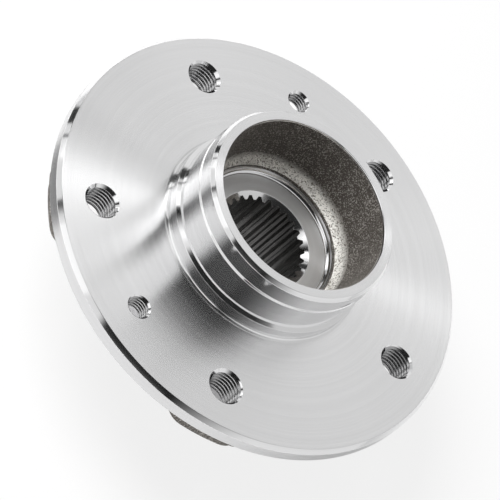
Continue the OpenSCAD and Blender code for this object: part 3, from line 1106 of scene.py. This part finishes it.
@dataclass
class HubForging:
    """The hub: flange, stepped pilot, cavity, nut seat, splined bore, arms and spindle.

    A pair is a radius and a height, or the width and the height of a bevel.

    Attributes:
        bolt_circle: radius of the circle that the holes lie on.
        bolt_bore: radius of a wheel-bolt hole at its thread's crests.
        screw_bore: radius of a disc-screw hole at its thread's crests.
        pilot: radius that centres the wheel.
        flange: radius of the flange.
        top: height of the pilot's front ring.
        bottom: height of the spindle's end.
        screw_angles: where the disc-screw holes are, in degrees.
        bolts: how many wheel-bolt holes and arms there are.
        rim: thickness of the flange.
        rim_chamfer: the chamfer at the flange's front edge.
        rim_bevel: width of the bevel at its rear edge.
        wheel_step: height of the step that centres the wheel.
        foot_fillet: radius of the fillet at the pilot's foot.
        body: radius of the pilot above that step.
        neck: radius of the pilot's upper part.
        neck_step: height at which that part starts.
        step_chamfer: height of the chamfers between the pilot's steps.
        lip: radii of the front ring's outer edge, of its inner edge and of the cavity below it.
        lead: height of the chamfer outside the front ring.
        cavity_foot: where the cavity's wall starts to curve in.
        seat: radius of the nut seat's wall, and height of its floor.
        seat_rim: height of the seat wall's upper edge.
        seat_shade_band: height of the band below that edge that gets dark scale in place of polish: painted
            shade, standing in for the dark ring of shade and dark reflection there.
        seat_bevel: the bevel of that edge.
        seat_fillet: radius of the fillet at the seat's foot.
        mouth: outer edge of the spline's countersink.
        mouth_slope: slope of the countersink, in degrees.
        spline: the spline.
        lead_in: radius and depth of the plain bore at the rear.
        lead_in_bevel: width of the bevel at its edge.
        arm_depth: depth of the arms' rear faces below the flange's front.
        core: radius of the thick core behind the flange.
        core_fillet: radius of the fillet at its root.
        core_bevel: width of the bevel at its rear edge.
        shoulder: radius and height of the face that the inner ring rests on.
        shoulder_bevel: the bevel round that face.
        spindle: radius of the spindle.
        spindle_bevel: the bevel at the spindle's end.
        seat_margin: how far from the seat's fillet an extra edge keeps its floor flat.
        face_margin: how far from its fillet and its chamfer extra edges keep the front face flat.
        steps: how many facets go round.
    """

    bolt_circle: float
    bolt_bore: float
    screw_bore: float
    pilot: float
    flange: float
    top: float
    bottom: float
    screw_angles: tuple[float, ...]
    bolts: int = 5
    rim: float = 6.5
    rim_chamfer: Point = (1.25, 1.55)
    rim_bevel: float = 0.5
    wheel_step: float = 5.3
    foot_fillet: float = 1.4
    body: float = 34.8
    neck: float = 34.4
    neck_step: float = 17.6
    step_chamfer: float = 0.7
    lip: tuple[float, float, float] = (33.4, 30.5, 30.15)
    lead: float = 1.35
    cavity_foot: Point = (27.8, 7.8)
    seat: Point = (25.6, -0.6)
    seat_rim: float = 2.6
    seat_shade_band: float = 1.2
    seat_bevel: Point = (0.15, 0.2)
    seat_fillet: float = 1.7
    mouth: Point = (17.8, -0.6)
    mouth_slope: float = 29.0
    spline: Spline = Spline()
    lead_in: Point = (17.5, 3.5)
    lead_in_bevel: float = 0.4
    arm_depth: float = 12.0
    core: float = 44.0
    core_fillet: float = 4.0
    core_bevel: float = 1.0
    shoulder: Point = (26.6, -13.5)
    shoulder_bevel: Point = (1.0, 0.6)
    spindle: float = 21.5
    spindle_bevel: Point = (0.5, 1.0)
    seat_margin: float = 0.4
    face_margin: float = 0.5
    steps: int = 288

    surfaces = (Surface.FACE, Surface.POLISHED, Surface.CHAMFER, Surface.RIM, Surface.SEAT, Surface.SCALE,
                Surface.GRAIN, Surface.THREAD, Surface.SPLINE)

    def _inside(self) -> Outline:
        """Draw the outline from the spline's mouth up the cavity to the pilot's front ring.

        Returns:
            The outline.
        """
        seat_r, seat_z = self.seat
        foot_r, foot_z = self.cavity_foot
        rise, reach = foot_z - self.seat_rim, foot_r - seat_r
        floor_r = (rise ** 2 + reach ** 2) / (2 * reach)
        outer, inner, cavity = self.lip
        wide, high = self.seat_bevel
        flat = seat_r - self.seat_fillet
        path = Outline(self.mouth).to(Surface.SEAT, (flat - self.seat_margin, seat_z), (flat, seat_z))
        path.arc(Surface.CHAMFER, (flat, seat_z + self.seat_fillet), (seat_r, seat_z + self.seat_fillet),
                 steps=6)
        # The top band of the seat wall gets dark scale, not polish: painted shade for the dark ring of
        # shade and dark reflection there.
        path.to(Surface.POLISHED, (seat_r, self.seat_rim - self.seat_shade_band))
        path.to(Surface.SCALE, (seat_r, self.seat_rim - high), (seat_r + wide, self.seat_rim))
        path.arc(Surface.GRAIN, (foot_r - floor_r, foot_z), (foot_r, foot_z), steps=10)
        path.to(Surface.SCALE, (cavity, self.top - self.step_chamfer))
        return path.to(Surface.CHAMFER, (inner, self.top)).to(Surface.FACE, (outer, self.top))

    def _front(self, path: Outline) -> Outline:
        """Draw the outline on, down the pilot and out to the flange's rim.

        Args:
            path: the outline so far.

        Returns:
            The outline.
        """
        half, foot = self.step_chamfer / 2, self.foot_fillet
        halfway = foot * (1 - math.sqrt(0.5))
        chamfer_r, chamfer_z = self.rim_chamfer
        edge = self.flange - chamfer_r
        path.to(Surface.CHAMFER, (self.neck, self.top - self.lead))
        path.to(Surface.POLISHED, (self.neck, self.neck_step + half))
        path.to(Surface.CHAMFER, (self.body, self.neck_step - half))
        path.to(Surface.POLISHED, (self.body, self.wheel_step + self.step_chamfer))
        path.to(Surface.CHAMFER, (self.pilot, self.wheel_step))
        path.to(Surface.POLISHED, (self.pilot, foot))
        path.arc(Surface.CHAMFER, (self.pilot + foot, foot), (self.pilot + halfway, halfway), steps=4)
        path.arc(Surface.FACE, (self.pilot + foot, foot), (self.pilot + foot, 0), steps=4)
        path.to(Surface.FACE, (self.pilot + foot + self.face_margin, 0), (edge - self.face_margin, 0),
                (edge, 0))
        return path.to(Surface.CHAMFER, (self.flange, -chamfer_z))

    def _back(self, path: Outline) -> Outline:
        """Draw the outline on, from the rim to the spindle's end and up the bore.

        Args:
            path: the outline so far.

        Returns:
            The outline.
        """
        core_foot, shoulder_r = self.core + self.core_fillet, self.shoulder[0]
        wide, high = self.shoulder_bevel
        end_wide, end_high = self.spindle_bevel
        lead_r, lead_z = self.lead_in
        lead_z += self.bottom
        path.to(Surface.RIM, (self.flange, self.rim_bevel - self.rim))
        path.to(Surface.SCALE, (self.flange - self.rim_bevel, -self.rim))
        path.to(Surface.SCALE, (core_foot, -self.rim))
        path.arc(Surface.SCALE, (core_foot, -self.rim - self.core_fillet),
                 (self.core, -self.rim - self.core_fillet), steps=8)
        path.to(Surface.SCALE, (self.core, self.core_bevel - self.arm_depth),
                (self.core - self.core_bevel, -self.arm_depth), (shoulder_r + wide, -self.arm_depth))
        path.to(Surface.SEAT, (shoulder_r, -self.arm_depth - high), self.shoulder,
                (self.spindle, self.shoulder[1]))
        path.to(Surface.POLISHED, (self.spindle, self.bottom + end_high))
        path.to(Surface.SEAT, (self.spindle - end_wide, self.bottom),
                (lead_r + self.lead_in_bevel, self.bottom), (lead_r, self.bottom + self.lead_in_bevel),
                (lead_r, lead_z), (self.spline.tip, lead_z + lead_r - self.spline.tip))
        drop = (self.mouth[0] - self.spline.tip) * math.tan(math.radians(self.mouth_slope))
        path.to(Surface.SPLINE, (self.spline.tip, self.mouth[1] - drop))
        return path.to(Surface.CHAMFER, self.mouth)

    def holes(self) -> list[ThreadedHole]:
        """List the wheel-bolt holes and the disc-screw holes.

        Returns:
            The holes.
        """
        bolts = [ThreadedHole(self.bolt_circle, 360 / self.bolts * i, self.bolt_bore, root=6.0, mouth=6.2,
                              pitch=1.5, depth=self.arm_depth, exit=0.6) for i in range(self.bolts)]
        screws = [ThreadedHole(self.bolt_circle, angle, self.screw_bore, root=4.0, mouth=4.2,
                               pitch=1.25, depth=self.rim, steps=36) for angle in self.screw_angles]
        return bolts + screws

    def build(self) -> bpy.types.Object:
        """Make the hub.

        Returns:
            The hub.
        """
        path = self._back(self._front(self._inside()))
        blank = Blank(self.surfaces).turn(path, self.steps).ease(width=0.12)
        arm = ForgedArm(self.rim, self.arm_depth, self.flange).build(self.surfaces)
        blank.combine(arm.copies(spun(360 / self.bolts * i) for i in range(self.bolts)), "UNION")
        spaces = self.spline.spaces(self.surfaces, low=self.bottom - 1, high=1)
        blank.combine(spaces, "DIFFERENCE")
        bores, threads = Blank(self.surfaces), Blank(self.surfaces)
        for hole in self.holes():
            bores.add(hole.drill(self.surfaces))
            threads.add(hole.tap(self.surfaces))
        blank.combine(bores, "DIFFERENCE").combine(threads, "DIFFERENCE")
        return blank.piece("hub_forging", "rotating_hub", "turned_steel", "hub")


@dataclass
class Bearing:
    """The sealed double-row bearing that is pressed on the hub's spindle.

    Attributes:
        middle: height of its middle.
        bore: radius of the inner rings' bore.
        outside: radius of the outer ring.
        half_outer: half the width of the outer ring.
        half_inner: half the width of the two inner rings together.
        pitch: radius of the circle through the ball centres.
        ball: radius of a ball.
        row: height of each row of balls from the middle.
        case_floor: height of the seal cases' floor from the middle.
        slinger: radius of the slingers.
        sheet: thickness of the pressed steel.
        contact: contact angle of the balls, in degrees.
        race: radius of a raceway over the radius of a ball.
        race_gap: gap between a ball and its raceways.
        outer_walls: depth of the outer raceways at the land between them and at their outer
            ends, over the radius of a ball.
        inner_walls: depth of the inner raceways at their outer ends and at the middle of the
            bearing, over the radius of a ball.
        seal_bore: radius that the seal cases are pressed in.
        seal_bevel: width of the bevel at the mouth of that bore.
        seal_inset: how far the seals lie below the outer ring's faces.
        seal_room: room between a seal case and the step that it is pressed towards.
        clip_groove: depth of the clip's groove, and half its width.
        encoder: thickness of the encoder ring.
        encoder_gap: gap between the encoder ring and the slinger's sleeve.
        edge: width of the rings' bevels.
        case_gap: gap between a seal case and the slinger's sleeve.
        sleeve_lift: how far above the case's floor the slinger's sleeve starts.
        steps: how many facets go round.
    """

    middle: float
    bore: float
    outside: float
    half_outer: float
    half_inner: float
    pitch: float
    ball: float
    row: float
    case_floor: float
    slinger: float
    sheet: float = 0.5
    contact: float = 36.0
    race: float = 1.04
    race_gap: float = 0.05
    outer_walls: Point = (0.57, 0.12)
    inner_walls: Point = (0.588, 0.14)
    seal_bore: float = 36.2
    seal_bevel: float = 0.3
    seal_inset: float = 0.2
    seal_room: float = 0.2
    clip_groove: Point = (0.6, 1.2)
    encoder: float = 0.9
    encoder_gap: float = 0.4
    edge: float = 0.8
    case_gap: float = 1.6
    sleeve_lift: float = 0.1
    steps: int = 192

    surfaces = (Surface.RING, Surface.SHEET, Surface.MAGNET)

    def _groove(self, side: int) -> tuple[Point, float]:
        """Work out a raceway.

        Args:
            side: 1 for the outer ring and -1 for an inner ring.

        Returns:
            The centre and the radius of the raceway's groove.
        """
        radius = self.race * self.ball
        shift = (radius - self.ball - self.race_gap) * side
        angle = math.radians(self.contact)
        return (self.pitch - shift * math.cos(angle), self.row + shift * math.sin(angle)), radius

    def _on_groove(self, side: int, r: float, way: int) -> Point:
        """Return the point of a raceway at a radius, above or below its centre."""
        centre, radius = self._groove(side)
        return r, centre[1] + way * math.sqrt(radius ** 2 - (r - centre[0]) ** 2)

    def _walls(self, side: int) -> tuple[float, float]:
        """Return the radii of the two ends of a raceway, the deeper end first."""
        walls = self.outer_walls if side > 0 else self.inner_walls
        return tuple(self.pitch + side * (1 - wall) * self.ball for wall in walls)

    def _half(self, outline: Outline, side: int) -> Blank:
        """Turn a piece of one half of the bearing.

        Args:
            outline: the piece's outline, with heights from the middle.
            side: 1 for the outboard half and -1 for the inboard half.

        Returns:
            The piece.
        """
        blank = Blank(self.surfaces).turn(outline, self.steps)
        flip = Matrix.Translation((0, 0, self.middle * MM)) @ Matrix.Scale(side, 4, (0, 0, 1))
        return blank.move(flip).tidy()

    @staticmethod
    def _end(side: int) -> str:
        """Return the name of a half of the bearing."""
        return "outboard" if side > 0 else "inboard"

    def outer_ring(self) -> None:
        """Make the outer ring with its two raceways."""
        land, wall = self._walls(1)
        centre, _ = self._groove(1)
        recess = self.case_floor - self.seal_room
        halves = Blank(self.surfaces)
        for side in (1, -1):
            path = Outline((self.outside, 0)).to(
                Surface.RING, (self.outside, self.half_outer - self.edge),
                (self.outside - self.edge, self.half_outer),
                (self.seal_bore + self.seal_bevel, self.half_outer),
                (self.seal_bore, self.half_outer - self.seal_bevel),
                (self.seal_bore, recess), (wall, recess), self._on_groove(1, wall, 1))
            path.arc(Surface.RING, centre, self._on_groove(1, land, -1), steps=12)
            path.to(Surface.RING, (land, 0))
            halves.add(self._half(path, side))
        halves.tidy().ease(width=0.15).piece(
            "bearing_outer_ring", "bearing_housing", "ground_steel", "outer_ring")

    def inner_ring(self, side: int) -> None:
        """Make one inner ring.

        Args:
            side: 1 for the outboard ring and -1 for the inboard one.
        """
        land, wall = self._walls(-1)
        centre, _ = self._groove(-1)
        depth, half_width = self.clip_groove
        groove = self.bore + depth
        path = Outline((groove, 0)).to(Surface.RING, (wall, 0), self._on_groove(-1, wall, -1))
        path.arc(Surface.RING, centre, self._on_groove(-1, land, 1), steps=12)
        path.to(Surface.RING, (land, self.half_inner - self.edge / 2),
                (land - self.edge / 2, self.half_inner), (self.bore + self.edge, self.half_inner),
                (self.bore, self.half_inner - self.edge), (self.bore, half_width), (groove, half_width),
                (groove, 0))
        name = f"inner_ring_{self._end(side)}"
        self._half(path, side).ease(width=0.12).piece(
            f"ground_{name}", "rotating_hub", "ground_steel", name)

    def seal(self, side: int) -> None:
        """Make the steel of one seal, and the encoder ring on the inboard one.

        Args:
            side: 1 for the outboard seal and -1 for the inboard one.
        """
        end = self._end(side)
        sleeve_bore, _ = self._walls(-1)
        sleeve, floor = sleeve_bore + self.sheet, self.case_floor
        base, hole, rim = floor + self.sheet, sleeve + self.case_gap, self.seal_bore - self.sheet
        face = self.half_outer - self.seal_inset
        case = Outline.ring(Surface.SHEET, (self.seal_bore, floor), (self.seal_bore, face), (rim, face),
                            (rim, base), (hole, base), (hole, floor))
        self._half(case, side).ease(width=0.1).piece(
            f"pressed_seal_case_{end}", "bearing_housing", "pressed_steel", f"seal_case_{end}")
        top = face if side > 0 else face - self.encoder
        under, start = top - self.sheet, floor + self.sleeve_lift
        cup = Outline.ring(Surface.SHEET, (sleeve_bore, top), (self.slinger, top), (self.slinger, under),
                           (sleeve, under), (sleeve, start), (sleeve_bore, start))
        self._half(cup, side).ease(width=0.12).piece(
            f"pressed_slinger_{end}", "rotating_hub", "pressed_steel", f"slinger_{end}")
        if side < 0:
            inner = sleeve + self.encoder_gap
            ring = Outline.ring(Surface.MAGNET, (inner, top), (self.slinger, top), (self.slinger, face),
                                (inner, face))
            self._half(ring, side).ease(width=0.15).piece(
                "magnetic_encoder_ring", "rotating_hub", "encoder_rubber", "encoder_ring")

    def build(self) -> None:
        """Make every turned piece of the bearing."""
        self.outer_ring()
        for side in (1, -1):
            self.inner_ring(side)
            self.seal(side)


def dress(nodes: dict[str, bpy.types.Object], finishes: dict[str, Surface]) -> None:
    """Give the frame's own nodes their materials.

    Args:
        nodes: the nodes by name.
        finishes: the surface of each node whose name starts with the key.
    """
    for name, node in nodes.items():
        surface = next((s for start, s in finishes.items() if name.startswith(start)), None)
        if surface:
            node.data.materials.clear()
            node.data.materials.append(Palette.of(surface))
            LOG.info("%s: %s", name, surface.value.name)


def facing(toward: Vector, azimuth: float, elevation: float, distance: float) -> Matrix:
    """Work out the place of something that faces the hub.

    Args:
        toward: direction to the camera.
        azimuth: where it stands, in degrees about the wheel axis from the camera's side.
        elevation: its height above the flange, in degrees.
        distance: how far off it is, in metres.

    Returns:
        The place.
    """
    turn = Matrix.Rotation(math.atan2(toward.y, toward.x) + math.radians(azimuth), 4, "Z")
    tip = Matrix.Rotation(math.radians(90 - elevation), 4, "Y")
    return turn @ tip @ Matrix.Translation((0, 0, distance))


@dataclass(frozen=True)
class Reflector:
    """Something beside the camera that only the bright steel mirrors.

    Attributes:
        name: its name.
        grey: how bright it is, where 1 is white.
    """

    name: str
    grey: float

    def _hang(self, mesh: bmesh.types.BMesh, shader: Shader, share: Signal, place: Matrix) -> None:
        """Hang it where neither the camera nor a dull surface nor a shadow shows it.

        Args:
            mesh: its mesh.
            shader: the node tree of its material.
            share: how solid it is from place to place, where 0 is see-through.
            place: where it hangs.
        """
        clear = shader.node("ShaderNodeBsdfTransparent")
        glow = shader.node("ShaderNodeEmission", {"Color": (self.grey, self.grey, self.grey, 1.0)})
        made = shaped(self.name, mesh, [shader.close(shader.mixed(share, clear, glow))])
        mesh.free()
        made.matrix_world = place
        made.visible_camera = made.visible_diffuse = made.visible_shadow = False
        made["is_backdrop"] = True


@dataclass(frozen=True)
class Card(Reflector):
    """A flat card that faces the hub.

    Attributes:
        azimuth: where its middle stands, in degrees about the wheel axis from the camera's side.
        elevation: height of its middle above the flange, in degrees.
        width: how wide it looks from the hub, in degrees.
        height: how tall it looks from the hub, in degrees.
        soft: share of the half width over which its edges fade, at the left, right, foot and top.
        lean: turn about its own middle, in degrees.
        distance: how far off it stands, in metres.
    """

    azimuth: float
    elevation: float
    width: float
    height: float
    soft: tuple[float, float, float, float]
    lean: float = 0.0
    distance: float = 1.5

    def stand(self, toward: Vector) -> None:
        """Stand the card where it belongs.

        Args:
            toward: direction to the camera.
        """
        half_width, half_height = [self.distance * math.tan(math.radians(span / 2))
                                   for span in (self.width, self.height)]
        mesh = bmesh.new()
        bmesh.ops.create_grid(mesh, x_segments=1, y_segments=1, size=1)
        bmesh.ops.scale(mesh, vec=(half_width, half_height, 1), verts=mesh.verts)
        shader = Shader(bpy.data.materials.new(self.name))
        across, up, _ = shader.split(shader.metres())
        left, right, foot, top = self.soft
        share = (across * (1 / half_width)).faded(left, right) * (up * (1 / half_height)).faded(foot, top)
        place = facing(toward, self.azimuth, self.elevation, self.distance)
        self._hang(mesh, shader, share, place @ spun(90 + self.lean))


@dataclass(frozen=True)
class Bar(Reflector):
    """A bent strip that turned steel mirrors as a line straight out from the wheel axis.

    Attributes:
        side: where on the hub that line lies, in degrees about the wheel axis from the camera's side.
        width: how wide the strip looks from the hub, in degrees.
        reach: tilts of the steel that mirror the strip's two ends, in degrees.
        soft: share of the half width over which its edges fade, at the left and right.
        distance: how far off it hangs, in metres.
        facets: how many facets its bend has.
    """

    side: float
    width: float
    reach: tuple[float, float]
    soft: tuple[float, float]
    distance: float = 1.4
    facets: int = 32

    def stand(self, toward: Vector) -> None:
        """Hang the strip where it belongs.

        Args:
            toward: direction to the camera.
        """
        line = math.atan2(toward.y, toward.x) + math.radians(self.side)
        up, out = Vector((0, 0, 1)), Vector((math.cos(line), math.sin(line), 0))
        axis = up.cross(out)
        first, last = [math.radians(tilt) for tilt in self.reach]
        steel = up * math.cos(first) + out * math.sin(first)
        ray = 2 * toward.dot(steel) * steel - toward
        half = math.radians(self.width / 2)
        mesh = bmesh.new()
        ends = [mesh.verts.new(Matrix.Rotation(turn, 3, axis.cross(ray)) @ ray * self.distance)
                for turn in (-half, half)]
        bmesh.ops.spin(mesh, geom=[*ends, mesh.edges.new(ends)], cent=(0, 0, 0), axis=axis,
                       angle=2 * (last - first), steps=self.facets)
        shader = Shader(bpy.data.materials.new(self.name))
        off = shader.dot(shader.metres(), axis / self.distance)
        level = ray.dot(axis)
        across = (off - level) * (1 / (half * math.sqrt(1 - level ** 2)))
        self._hang(mesh, shader, across.faded(*self.soft), Matrix.Identity(4))


@dataclass(frozen=True)
class Lamp:
    """A soft lamp that lights dull surfaces, while the steel mirrors the reflectors instead.

    Attributes:
        name: its name.
        azimuth: where it hangs, in degrees about the wheel axis from the camera's side.
        elevation: its height above the flange, in degrees.
        size: its width, in metres.
        power: its power, in watts.
        distance: how far off it hangs, in metres.
    """

    name: str
    azimuth: float
    elevation: float
    size: float
    power: float
    distance: float = 1.0

    def stand(self, toward: Vector) -> None:
        """Hang the lamp so that it faces the hub.

        Args:
            toward: direction to the camera.
        """
        data = bpy.data.lights.new(self.name, "AREA")
        data.shape, data.size, data.energy = "DISK", self.size, self.power
        made = placed(self.name, data)
        made.matrix_world = facing(toward, self.azimuth, self.elevation, self.distance)
        made.visible_glossy = False


@dataclass
class Studio:
    """The camera of the photograph, the pale floor and the light.

    Attributes:
        elevation: how far above the flange it stands, in degrees.
        roll: how far the wheel axis leans to the right in the picture, in degrees.
        distance: how far off it is, in millimetres.
        lens: its focal length on a 36 mm sensor.
        offset: how far it is moved in its own picture plane, in millimetres.
        daylight: strength of the light from all round, as it falls on dull surfaces.
        tent: strength of the same light in a reflection.
        floor_white: share of plain white in the floor that the camera sees.
        floor_glow: share of plain white in the floor that the steel mirrors.
        floor_radius: radius of the floor, in metres.
        floor_tones: the darkest and the lightest grey of the floor.
        floor_cloud: clouds per millimetre on the floor.
        kit: what stands round the hub.
    """

    azimuth: float = 206.26
    elevation: float = 47.39
    roll: float = 50.02
    distance: float = 944.8
    lens: float = 208.6
    offset: Point = (-4.52, -3.80)
    daylight: float = 0.44
    tent: float = 0.98
    floor_white: float = 0.82
    floor_glow: float = 0.35
    floor_radius: float = 3.0
    floor_tones: tuple[float, float] = (0.93, 0.95)
    floor_cloud: float = 0.004
    kit: tuple[Card | Bar | Lamp, ...] = (
        # name, grey, azimuth, elevation, width, height
        Card("camera_flag", 0.02, 4, 53, 47.5, 74, soft=(0.26, 0.05, 0.33, 0.1)),
        Card("dark_top", 0.02, 24.5, 55, 25, 60, lean=-44, soft=(0.1, 0.02, 0.1, 0.1), distance=1.55),
        Card("dark_side", 0.02, 56, 33.5, 38, 94, lean=-44, soft=(0.02, 2.0, 0.2, 0.1), distance=1.6),
        Card("grey_card", 0.6, 126, 45, 58, 66, soft=(0.2, 0.15, 0.3, 0.3), distance=1.8),
        Card("left_card", 0.45, -149, 44, 20, 40, lean=10, soft=(0.6, 0.3, 0.3, 0.3), distance=1.8),
        Card("tall_softbox", 1.3, -96, 40, 22, 70, soft=(0.3, 0.3, 0.2, 0.2), distance=1.7),
        Card("near_softbox", 1.08, -46, 24, 32, 50, soft=(0.2, 0.2, 0.2, 0.5), distance=1.7),
        Card("edge_flag", 0.3, -68, -20, 46, 14, soft=(1.0, 0.4, 0.2, 0.2), distance=0.104),
        # name, grey, side, width, reach
        Bar("left_bar", 0.03, -67.2, 8.5, (12, 56), soft=(0.4, 0.1)),
        Bar("frame_edge", 0.1, -60.4, 1.6, (6, 56), soft=(0.3, 0.3)),
        Bar("right_bar", 0.0, -37.2, 17.5, (22, 48), soft=(0.12, 1.6)),
        Bar("right_bar_foot", 0.1, -39.9, 8.0, (48, 60), soft=(0.3, 1.4)),
        Bar("strip_light", 1.9, -53, 6.5, (4, 26), soft=(0.1, 0.8), distance=1.45),
        Lamp("key_lamp", azimuth=-80, elevation=50, size=0.6, power=11.5),
    )

    def _toward(self) -> Vector:
        """Return the direction from the hub to the camera."""
        turn, rise = math.radians(self.azimuth), math.radians(self.elevation)
        return Vector((math.sin(turn) * math.cos(rise), -math.cos(turn) * math.cos(rise), math.sin(rise)))

    def camera(self) -> None:
        """Set up the camera."""
        back = self._toward()
        level = (Vector((0, 0, 1)) - back * back.z).normalized()
        side, lean = level.cross(back), math.radians(self.roll)
        right = level * math.sin(lean) + side * math.cos(lean)
        up = level * math.cos(lean) - side * math.sin(lean)
        data = bpy.data.cameras.new("photo_camera")
        data.lens, data.sensor_width = self.lens, SENSOR
        camera = placed("photo_camera", data)
        place = back * self.distance + right * self.offset[0] + up * self.offset[1]
        turned = Matrix((right, up, back)).transposed().to_4x4()
        camera.matrix_world = Matrix.Translation(place * MM) @ turned
        bpy.context.scene.camera = camera

    def floor(self, height: float) -> None:
        """Lay a pale floor that looks white and keeps the object's shadow.

        Args:
            height: where it lies, in metres.
        """
        mesh = bmesh.new()
        bmesh.ops.create_circle(mesh, cap_ends=True, segments=96, radius=self.floor_radius)
        bmesh.ops.translate(mesh, verts=mesh.verts, vec=(0, 0, height))
        shader = Shader(bpy.data.materials.new("pale_floor"))
        cloud = shader.noise(shader.place(), self.floor_cloud)
        pale = shader.blend(cloud, *[(tone, tone, tone) for tone in self.floor_tones])
        matt = shader.node("ShaderNodeBsdfDiffuse", {"Color": pale})
        camera, glossy, through = shader.rays("Camera", "Glossy", "Transmission")
        share = camera * self.floor_white + (glossy + through) * self.floor_glow
        white = shader.node("ShaderNodeEmission")
        ground = shaped("floor", mesh, [shader.close(shader.mixed(share, matt, white))])
        mesh.free()
        ground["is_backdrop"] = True

    def world(self) -> None:
        """Make the light from all round: plain daylight that looks white."""
        shader = Shader(bpy.data.worlds.new("daylight"))
        camera, glossy = shader.rays("Camera", "Glossy")
        strength = self.daylight + camera * (1 - self.daylight) + glossy * (self.tent - self.daylight)
        bpy.context.scene.world = shader.close(shader.node("ShaderNodeBackground", {"Strength": strength}))
        bpy.context.scene.view_settings.view_transform = "Standard"

    def build(self, ground: float) -> None:
        """Set up the whole studio.

        Args:
            ground: height of the floor, in metres.
        """
        self.camera()
        self.world()
        self.floor(ground)
        for item in self.kit:
            item.stand(self._toward())
        LOG.info("studio: %d reflectors and lamps", len(self.kit))


def mount(record: dict[str, Any], name: str) -> dict[str, Any]:
    """Return one of the record's mounts."""
    return next(m for m in record["mounts"] if m["name"] == name)


def main() -> None:
    """Load the frame, build every piece round it and set the studio."""
    logging.basicConfig(level=logging.INFO, format="%(name)s: %(message)s")
    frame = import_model()
    cad_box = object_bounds()
    record = frame["record"]
    low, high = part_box("hub")
    bolts, pilot = mount(record, "wheel_bolts")["dims"], mount(record, "wheel_pilot")["dims"]
    screws = [mount(record, name) for name in ("disc_screw_1", "disc_screw_2")]
    angles = tuple(math.degrees(math.atan2(s["pos_m"][1], s["pos_m"][0])) for s in screws)
    hub = HubForging(
        bolt_circle=bolts["pcd_mm"] / 2, bolt_bore=bolts["hole_r_mm"], screw_bore=screws[0]["dims"]["r_mm"],
        pilot=pilot["r_mm"], flange=high.x / MM, top=high.z / MM, bottom=low.z / MM, screw_angles=angles)
    hub.build()
    outer, inner, case, slinger = (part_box(name) for name in (
        "outer_ring", "inner_ring_outboard", "seal_case_outboard", "slinger_outboard"))
    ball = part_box("ball_outboard_01")
    middle = (outer[0].z + outer[1].z) / 2
    bearing = Bearing(
        middle=middle / MM, bore=hub.spindle, outside=outer[1].x / MM,
        half_outer=(outer[1].z - middle) / MM, half_inner=(inner[1].z - middle) / MM,
        pitch=(ball[0].x + ball[1].x) / 2 / MM, ball=(ball[1].z - ball[0].z) / 2 / MM,
        row=((ball[0].z + ball[1].z) / 2 - middle) / MM,
        case_floor=(case[0].z - middle) / MM, slinger=slinger[1].x / MM)
    bearing.build()
    dress(frame["nodes"], {"ball_": Surface.BALL, "cage_": Surface.NYLON, "inner_ring_clip": Surface.BAND,
                           "seal_lip_": Surface.RUBBER})
    Studio().build(cad_box[0][2])


if __name__ == "__main__":
    main()
